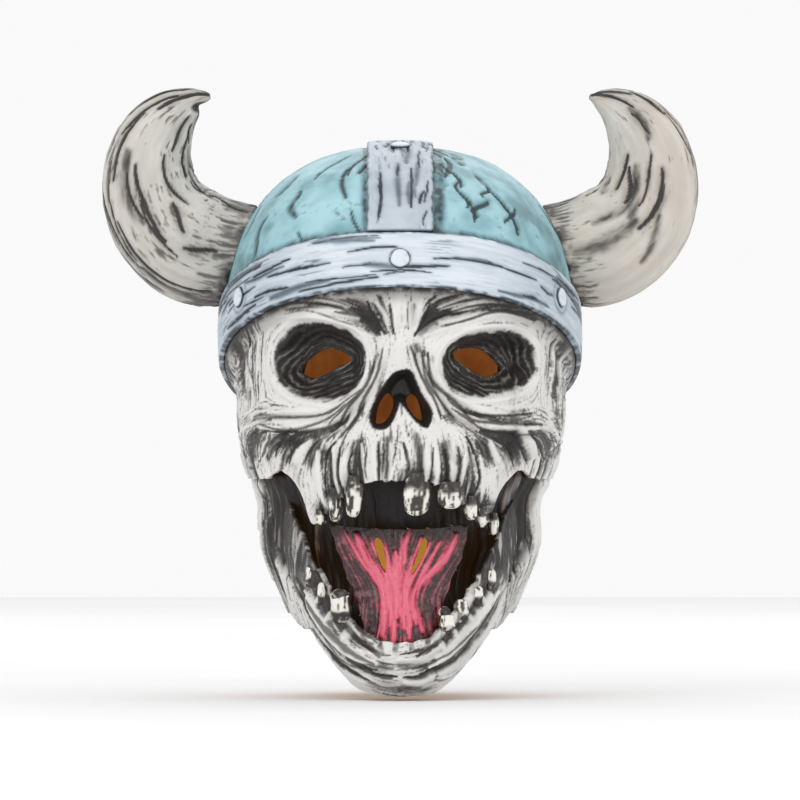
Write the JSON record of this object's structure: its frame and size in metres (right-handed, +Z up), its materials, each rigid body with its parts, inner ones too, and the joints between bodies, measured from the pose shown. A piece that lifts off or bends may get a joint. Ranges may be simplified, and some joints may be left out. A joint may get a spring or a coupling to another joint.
{
  "type": "horned skull mask",
  "caption": "Full head latex skull mask with a domed helmet, a riveted brow band, two curved horns, an open toothed mouth and a split nape.",
  "frame": {"origin": "middle of the head cavity: on the middle plane, on the ear line, at the height of the eyes", "axes": "+Z up, the face looks toward -Y, +X is the wearer's left"},
  "size_m": [0.3216, 0.2515, 0.3253],
  "materials": {
    "bone_latex": "matte",
    "helmet_latex": "matte",
    "band_latex": "matte",
    "rivet_latex": "matte",
    "horn_latex": "matte",
    "core_foam": "matte",
    "lining_latex": "satin",
    "tongue_latex": "satin",
    "tooth_resin": "gloss"
  },
  "bodies": {
    "head": {"face_shell": "bone_latex", "side_skin_left": "bone_latex", "side_skin_right": "bone_latex", "helmet_dome": "helmet_latex", "brow_band": "band_latex", "crest_band": "band_latex", "band_rivets": "rivet_latex", "mouth_lining": "lining_latex", "upper_tooth_1": "tooth_resin", "upper_tooth_2": "tooth_resin", "upper_tooth_3": "tooth_resin", "upper_tooth_4": "tooth_resin", "upper_tooth_5": "tooth_resin", "upper_tooth_6": "tooth_resin", "upper_tooth_7": "tooth_resin", "upper_tooth_8": "tooth_resin"},
    "jaw": {"jaw_shell": "bone_latex", "tongue": "tongue_latex", "lower_tooth_1": "tooth_resin", "lower_tooth_2": "tooth_resin", "lower_tooth_3": "tooth_resin", "lower_tooth_4": "tooth_resin", "lower_tooth_5": "tooth_resin", "lower_tooth_6": "tooth_resin", "lower_tooth_7": "tooth_resin"},
    "horn_left": {"horn_left": "horn_latex", "horn_core_left": "core_foam"},
    "horn_right": {"horn_right": "horn_latex", "horn_core_right": "core_foam"},
    "nape_left": {"nape_flap_left": "bone_latex"},
    "nape_right": {"nape_flap_right": "bone_latex"}
  },
  "joints": [
    {"name": "jaw_flex", "type": "hinge", "parent": "head", "child": "jaw", "pos_m": [0, 0, -0.025], "axis": [1, 0, 0], "range_deg": [-3, 7], "stiffness_Nm_per_rad": 4, "deforming": ["mouth_lining"]},
    {"name": "horn_left_flex", "type": "hinge", "parent": "head", "child": "horn_left", "pos_m": [0.087, 0.008, 0.0535], "axis": [0, -1, 0], "range_deg": [-7, 7], "stiffness_Nm_per_rad": 4},
    {"name": "horn_right_flex", "type": "hinge", "parent": "head", "child": "horn_right", "pos_m": [-0.087, 0.008, 0.0535], "axis": [0, 1, 0], "range_deg": [-7, 7], "stiffness_Nm_per_rad": 4},
    {"name": "nape_left_flex", "type": "hinge", "parent": "head", "child": "nape_left", "pos_m": [0.07146, 0.05141, -0.085], "axis": [-0.2156, -0.0835, -0.9729], "range_deg": [0, 35], "stiffness_Nm_per_rad": 1},
    {"name": "nape_right_flex", "type": "hinge", "parent": "head", "child": "nape_right", "pos_m": [-0.07146, 0.05141, -0.085], "axis": [-0.2156, 0.0835, 0.9729], "range_deg": [0, 35], "stiffness_Nm_per_rad": 1}
  ]
}
